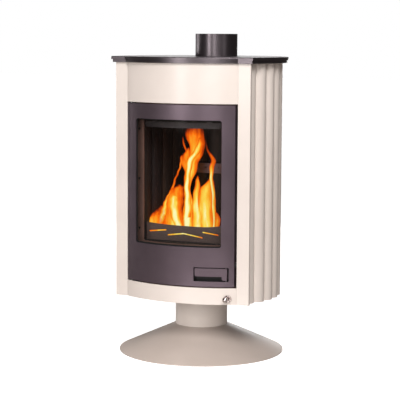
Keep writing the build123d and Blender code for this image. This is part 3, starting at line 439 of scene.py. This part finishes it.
def flame_material():
    """Burning gas: white-yellow where it is thick and low, orange, then red at its edges."""
    material = bpy.data.materials.new("flame")
    material.use_nodes = True
    tree = material.node_tree
    tree.nodes.clear()
    place = put(tree, "ShaderNodeTexCoord").outputs["Object"]
    heat = put(tree, "ShaderNodeAttribute", attribute_name="fire_level").outputs["Fac"]
    wisps = grain(tree, place, 95.0, 3.0, 0.55, stretch=(1, 1, 6))
    broad = grain(tree, place, 26.0, 2.0, 0.5, stretch=(1, 1, 3))
    layers = [
        math_node(tree, "MULTIPLY", math_node(tree, "SUBTRACT", pattern, 0.5), share)
        for pattern, share in ((wisps, 0.55), (broad, 0.75))
    ]
    streaks = math_node(tree, "ADD", *layers)
    level = math_node(tree, "ADD", heat, streaks)
    colour = ramp(
        tree,
        level,
        (0.05, (0.25, 0.012, 0.0)),
        (0.22, (0.80, 0.070, 0.0)),
        (0.42, (1.0, 0.17, 0.003)),
        (0.62, (1.0, 0.40, 0.02)),
        (0.80, (1.0, 0.72, 0.09)),
        (0.97, (1.0, 0.97, 0.48)),
    )
    glow = put(tree, "ShaderNodeEmission", {"Color": colour, "Strength": 1.08})
    clear = put(tree, "ShaderNodeBsdfTransparent")
    alpha = put(
        tree,
        "ShaderNodeMapRange",
        {"Value": level, "From Min": 0.02, "From Max": 0.50, "To Min": 0.0, "To Max": 1.0},
        interpolation_type="SMOOTHSTEP",
    ).outputs[0]
    both = put(tree, "ShaderNodeMixShader", {0: alpha, 1: clear.outputs[0], 2: glow.outputs[0]})
    put(tree, "ShaderNodeOutputMaterial", {"Surface": both.outputs[0]}, is_active_output=True)
    return material


FLAME = flame_material()


def curve_through(stations, t):
    """Catmull-Rom between equal stations of any number of values; t from 0 to 1."""
    last = len(stations) - 1
    at = min(t * last, last - 1e-6)
    i = int(at)
    f = at - i
    p = [stations[max(0, min(last, i + k))] for k in (-1, 0, 1, 2)]
    return [
        0.5 * (2 * b + (c - a) * f + (2 * a - 5 * b + 4 * c - d) * f * f + (3 * b - a - 3 * c + d) * f**3)
        for a, b, c, d in zip(*p)
    ]


def tongue(name, stations, depth=0.42, rows=56):
    """One closed tongue of flame. A station is height, left edge, right edge, y and heat, in mm,
    from the lowest up. The depth is a share of the half width."""
    around = 20
    least_half, most_thick = 0.4, 13.0
    slant = 0.15  # how far the right edge lies behind the middle, as a share of the half width
    rim_heat = 0.30  # share of the heat left at the left and right edges
    tip_heat = 0.25  # share of the heat left at the very top
    lengths_per_tip = 9.0  # the heat falls off over the last ninth of the length

    mesh = bmesh.new()
    warmth = []
    rings = []
    for row in range(rows + 1):
        t = row / rows
        z, left, right, y, heat = curve_through(stations, t)
        half = max(least_half, (right - left) / 2)
        middle = (left + right) / 2
        # two slow waves along the height make both edges waver
        sway = 1.6 * math.sin(z * 0.055 + middle * 0.05) + 1.1 * math.sin(z * 0.13 + y)
        thick = min(half * depth, most_thick)
        below_tip = min(1.0, (1.0 - t) * lengths_per_tip)
        row_heat = heat * (tip_heat + (1 - tip_heat) * below_tip)
        ring = []
        for k in range(around):
            turn = 2 * math.pi * k / around
            side = math.cos(turn)
            x_here = middle + sway + half * side
            y_here = y + thick * math.sin(turn) + slant * half * side
            ring.append(mesh.verts.new((x_here * MM, y_here * MM, z * MM)))
            across = 1.0 - abs(side) ** 1.6
            warmth.append(row_heat * (rim_heat + (1 - rim_heat) * across))
        rings.append(ring)
    for lower, upper in zip(rings, rings[1:]):
        for k in range(around):
            n = (k + 1) % around
            mesh.faces.new((lower[k], lower[n], upper[n], upper[k]))
    mesh.faces.new(list(reversed(rings[0])))
    mesh.faces.new(rings[-1])
    finish_mesh(name, mesh, FLAME, "stove", heat=warmth)


# height, left edge, right edge, y, heat
tongue(
    "flame_base",
    [
        (399, -148, 116, -100, 0.62),
        (408, -150, 118, -102, 0.80),
        (420, -150, 118, -102, 0.98),
        (432, -146, 116, -100, 0.80),
    ],
    depth=0.05,
    rows=12,
)
tongue(
    "flame_main",
    [
        (394, -48, -6, -40, 0.9),
        (432, -46, -8, -52, 1.15),
        (476, -44, -8, -58, 1.25),
        (524, -40, -11, -60, 1.2),
        (562, -36, -17, -60, 1.1),
        (585, -35, -12, -60, 0.92),
        (608, -36, -3, -60, 0.82),
        (632, -30, 7, -60, 0.74),
        (655, -24, 15, -60, 0.70),
        (680, -17, 28, -60, 0.64),
        (704, -20, 32, -60, 0.57),
        (728, -31, 32, -60, 0.50),
        (750, -37, 30, -60, 0.43),
        (775, -33, 23, -60, 0.36),
    ],
    depth=0.34,
)
tongue(
    "flame_main_edge",
    [
        (464, -36, -8, -74, 1.0),
        (500, -34, -8, -75, 1.08),
        (537, -31, -9, -75, 1.08),
        (574, -30, -12, -75, 1.05),
        (611, -29, -11, -75, 1.0),
        (647, -23, -3, -75, 1.0),
        (677, -8, 15, -75, 0.96),
        (698, 4, 26, -74, 0.86),
        (716, 13, 29, -73, 0.68),
        (736, 20, 28, -72, 0.45),
    ],
)
tongue(
    "flame_shoulder",
    [
        (560, -44, -26, -54, 0.75),
        (590, -42, -28, -54, 0.62),
        (615, -42, -27, -54, 0.6),
        (634, -50, -22, -54, 0.58),
        (652, -57, -20, -54, 0.55),
        (668, -54, -18, -54, 0.52),
        (684, -38, -18, -54, 0.48),
        (700, -28, -22, -54, 0.35),
    ],
)
tongue(
    "flame_wisp_upper",
    [
        (676, -36, -24, -56, 0.34),
        (690, -38, -29, -56, 0.34),
        (708, -45, -37, -56, 0.30),
        (722, -49, -43, -56, 0.25),
        (738, -51, -49, -56, 0.16),
    ],
)
tongue(
    "flame_strand",
    [
        (470, -106, -84, -74, 0.72),
        (505, -103, -84, -72, 0.66),
        (540, -95, -81, -70, 0.52),
        (562, -86, -76, -68, 0.42),
        (590, -74, -66, -66, 0.38),
        (618, -63, -56, -63, 0.38),
        (643, -58, -50, -60, 0.42),
        (662, -58, -48, -58, 0.38),
        (676, -50, -42, -57, 0.25),
    ],
)
tongue(
    "flame_left",
    [
        (394, -112, -38, -52, 0.60),
        (432, -118, -38, -66, 0.66),
        (470, -114, -38, -72, 0.68),
        (505, -108, -38, -72, 0.68),
        (528, -101, -38, -70, 0.64),
        (546, -92, -38, -68, 0.58),
        (560, -82, -38, -66, 0.48),
        (574, -60, -40, -64, 0.32),
    ],
)
tongue(
    "flame_far_left",
    [
        (396, -134, -96, -80, 0.50),
        (425, -156, -96, -98, 0.60),
        (444, -161, -98, -102, 0.60),
        (458, -156, -98, -100, 0.56),
        (474, -143, -99, -95, 0.50),
        (490, -128, -100, -90, 0.42),
        (506, -112, -102, -84, 0.30),
    ],
)
tongue(
    "flame_left_bright",
    [
        (396, -138, -108, -84, 0.9),
        (430, -134, -106, -90, 0.98),
        (455, -127, -100, -88, 0.96),
        (485, -115, -91, -84, 0.92),
        (515, -104, -84, -80, 0.82),
        (540, -94, -78, -76, 0.70),
        (560, -86, -76, -72, 0.5),
    ],
)
tongue(
    "flame_left_inner",
    [
        (396, -62, -34, -70, 0.9),
        (430, -66, -36, -80, 0.95),
        (455, -74, -42, -80, 0.96),
        (480, -82, -48, -80, 0.96),
        (510, -88, -50, -78, 0.94),
        (535, -88, -50, -74, 0.84),
        (556, -80, -54, -70, 0.55),
    ],
)
tongue(
    "flame_middle",
    [
        (394, -10, 34, -44, 0.85),
        (432, -9, 34, -56, 0.98),
        (476, -8, 30, -60, 0.96),
        (515, -6, 27, -60, 0.90),
        (545, -4, 23, -60, 0.80),
        (566, -2, 18, -60, 0.66),
        (586, 1, 15, -60, 0.55),
        (606, 7, 11, -60, 0.34),
    ],
)
tongue(
    "flame_right",
    [
        (394, 12, 72, -38, 0.80),
        (432, 8, 76, -48, 0.90),
        (476, 6, 75, -52, 0.88),
        (515, 6, 73, -54, 0.80),
        (545, 10, 69, -56, 0.72),
        (566, 20, 69, -56, 0.62),
        (582, 38, 69, -56, 0.54),
        (600, 54, 69, -56, 0.46),
    ],
)
tongue(
    "flame_right_edge",
    [
        (410, 56, 78, -50, 1.0),
        (450, 58, 77, -52, 1.05),
        (487, 60, 76, -54, 1.0),
        (520, 58, 72, -56, 0.96),
        (555, 56, 70, -58, 0.95),
        (588, 56, 69, -60, 0.9),
        (612, 55, 67, -60, 0.78),
        (636, 53, 70, -60, 0.55),
        (658, 57, 74, -60, 0.42),
        (678, 48, 62, -60, 0.34),
        (698, 40, 48, -60, 0.26),
        (728, 36, 40, -60, 0.16),
    ],
)
tongue(
    "flame_right_flick",
    [
        (425, 70, 84, -52, 0.72),
        (448, 72, 92, -54, 0.70),
        (462, 74, 95, -56, 0.55),
        (474, 74, 90, -57, 0.42),
        (488, 73, 80, -58, 0.32),
    ],
)


def ember_material():
    """Burning charcoal: black crust, grey ash on top and orange where it glows through."""
    material, tree, shader, place = surface("embers", Roughness=0.9)
    cracks = put(
        tree,
        "ShaderNodeTexVoronoi",
        {"Vector": place, "Scale": 90.0},
        feature="DISTANCE_TO_EDGE",
    ).outputs[0]
    cloud = grain(tree, place, 45.0, 4.0, 0.6)
    tree.links.new(
        ramp(tree, cloud, (0.35, (0.02, 0.015, 0.012)), (0.65, (0.22, 0.19, 0.17))),
        shader.inputs["Base Color"],
    )
    open_crack = remap(tree, cracks, 0.0, 0.16, 1.0, 0.0)
    bare_coal = remap(tree, cloud, 0.62, 0.35, 0.0, 1.0)
    glow = math_node(tree, "MULTIPLY", open_crack, bare_coal)
    tree.links.new(
        ramp(tree, glow, (0.0, (0.25, 0.02, 0.0)), (0.4, (1.0, 0.16, 0.01)), (1.0, (1.0, 0.62, 0.10))),
        shader.inputs["Emission Color"],
    )
    tree.links.new(remap(tree, glow, 0.0, 0.7, 0.15, 4.0), shader.inputs["Emission Strength"])
    relief(tree, shader, (cracks, 0.6, 0.003), (cloud, 0.5, 0.002))
    return material


def ember_bed():
    """A heap of charcoal lumps on the grate, behind the log guard."""
    lumps = 64
    half_width, front, back = 95, -92, 70  # mm
    smallest, largest = 11, 21  # mm
    heap_half_width, heap_half_depth, heap_height = 0.11, 0.10, 0.016
    heap_centre_y = -0.02
    front_half_width, front_y = 0.125, -0.128
    narrowing = 0.22  # of the half width for each metre towards the back
    clear_of_grate = 0.0004

    chance = random.Random(41)
    mesh = bmesh.new()
    grate_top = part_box("grate")[1].z
    for i in range(lumps):
        x = chance.uniform(-half_width, half_width) * MM
        y = chance.uniform(front, back) * MM
        if abs(x) > front_half_width - narrowing * (y - front_y):
            x *= 0.8
        size = chance.uniform(smallest, largest) * MM
        from_centre = (x / heap_half_width) ** 2 + ((y - heap_centre_y) / heap_half_depth) ** 2
        pile = max(0.0, 1 - from_centre) * heap_height
        stretch = Vector(
            [chance.uniform(0.75, 1.35), chance.uniform(0.75, 1.35), chance.uniform(0.6, 0.85)]
        )
        seed = Vector((i * 3.1, 7.7, 1.3))
        spin = Matrix.Rotation(chance.uniform(0, 6.28), 3, "Z")
        lump = bmesh.ops.create_icosphere(mesh, subdivisions=3, radius=1.0)["verts"]
        height = grate_top + size * stretch.z * 0.93 + pile * chance.uniform(0.5, 1.0)
        for v in lump:
            out = v.co.normalized()
            swell = 1 + 0.35 * noise.noise(out * 1.7 + seed) + 0.10 * noise.noise(out * 5.0 + seed)
            p = spin @ Vector([a * b for a, b in zip(out * swell, stretch)]) * size
            v.co = p + Vector((x, y, height))
            v.co.z = max(v.co.z, grate_top + clear_of_grate)
    finish_mesh("ember_bed", mesh, ember_material(), "stove")


ember_bed()


# ---------------------------------------------------------------- floor, light, camera


def floor():
    """A pale floor that the camera sees as plain white, while it reflects only soft light."""
    half_size = 30.0
    mesh = bmesh.new()
    signs = ((-1, -1), (1, -1), (1, 1), (-1, 1))
    mesh.faces.new([mesh.verts.new((x * half_size, y * half_size, 0.0)) for x, y in signs])
    data = bpy.data.meshes.new("floor")
    mesh.to_mesh(data)
    mesh.free()
    ground = bpy.data.objects.new("floor", data)
    bpy.context.scene.collection.objects.link(ground)
    material, tree, shader, place = surface("floor", Roughness=0.9)
    shader.inputs["Specular IOR Level"].default_value = 0.0
    tone = grain(tree, place, 3.0, 3.0)
    tree.links.new(
        ramp(tree, tone, (0.3, (0.46, 0.425, 0.40)), (0.7, (0.49, 0.455, 0.43))),
        shader.inputs["Base Color"],
    )
    ray = put(tree, "ShaderNodeLightPath").outputs["Is Camera Ray"]
    backlit = put(tree, "ShaderNodeEmission", {"Color": (1, 1, 1, 1), "Strength": ray})
    both = put(tree, "ShaderNodeAddShader", {0: shader.outputs[0], 1: backlit.outputs[0]})
    tree.links.new(both.outputs[0], tree.nodes["Material Output"].inputs["Surface"])
    data.materials.append(material)


def softbox(name, azimuth, distance, height, width, tall, power, aim):
    """An area light at an azimuth from the stove's front, towards its right, aimed at a height."""
    data = bpy.data.lights.new(name, "AREA")
    data.shape = "RECTANGLE"
    data.size = width
    data.size_y = tall
    data.energy = power
    lamp = bpy.data.objects.new(name, data)
    bpy.context.scene.collection.objects.link(lamp)
    turn = math.radians(azimuth)
    lamp.location = (math.sin(turn) * distance, -math.cos(turn) * distance, height)
    towards = Vector((0, 0, aim)) - lamp.location
    lamp.rotation_euler = towards.to_track_quat("-Z", "Y").to_euler()


def world_light():
    """Dim warm studio walls, which the camera sees as plain white."""
    world = bpy.data.worlds.new("studio")
    bpy.context.scene.world = world
    world.use_nodes = True
    tree = world.node_tree
    tree.nodes.clear()
    ray = put(tree, "ShaderNodeLightPath").outputs["Is Camera Ray"]
    soft = put(tree, "ShaderNodeBackground", {"Color": (1.0, 0.93, 0.88, 1), "Strength": 0.07})
    white = put(tree, "ShaderNodeBackground", {"Color": (1, 1, 1, 1), "Strength": 1.0})
    both = put(tree, "ShaderNodeMixShader", {0: ray, 1: soft.outputs[0], 2: white.outputs[0]})
    put(tree, "ShaderNodeOutputWorld", {"Surface": both.outputs[0]})


def camera():
    """The camera stands to the stove's right, level with its top, and looks slightly down."""
    azimuth = math.radians(23.748)
    distance = 4.8359
    height = 1.0731
    yaw = azimuth + math.radians(0.084)
    pitch = math.radians(6.566)
    roll = math.radians(0.328)
    data = bpy.data.cameras.new("camera")
    data.sensor_width = 36.0
    data.lens = 127.79
    data.clip_end = 100.0
    view = bpy.data.objects.new("camera", data)
    bpy.context.scene.collection.objects.link(view)
    view.location = (math.sin(azimuth) * distance, -math.cos(azimuth) * distance, height)
    level = Vector((-math.sin(yaw), math.cos(yaw), 0))
    forward = level * math.cos(pitch) - Vector((0, 0, math.sin(pitch)))
    right = Vector((math.cos(yaw), math.sin(yaw), 0))
    up = right.cross(forward)
    across = right * math.cos(roll) + up * math.sin(roll)
    above = up * math.cos(roll) - right * math.sin(roll)
    view.rotation_euler = Matrix((across, above, -forward)).transposed().to_euler()
    bpy.context.scene.camera = view


floor()
world_light()
# azimuth in degrees, distance, height, width, tall, power in watts, height aimed at
softbox("key", 31, 2.7, 2.75, 1.3, 1.3, 80, 1.05)
softbox("strip", -18, 3.2, 1.35, 0.30, 1.3, 22, 1.0)
softbox("sheen", 12, 3.4, 1.3, 0.7, 1.1, 15, 1.0)
softbox("over", 0, 0.01, 3.4, 2.4, 2.4, 22, 0.7)
softbox("side", 68, 3.4, 1.6, 0.8, 1.8, 5, 0.7)
softbox("behind_right", 198, 3.4, 0.6, 1.6, 0.7, 24, 0.6)
softbox("behind_left", 258, 3.4, 0.6, 1.6, 0.7, 24, 0.6)
softbox("behind", 205, 3.6, 1.7, 2.2, 1.0, 11, 1.0)
softbox("low", 12, 0.85, 0.03, 0.8, 0.05, 1.2, 0.09)
camera()
bpy.context.scene.view_settings.view_transform = "Standard"
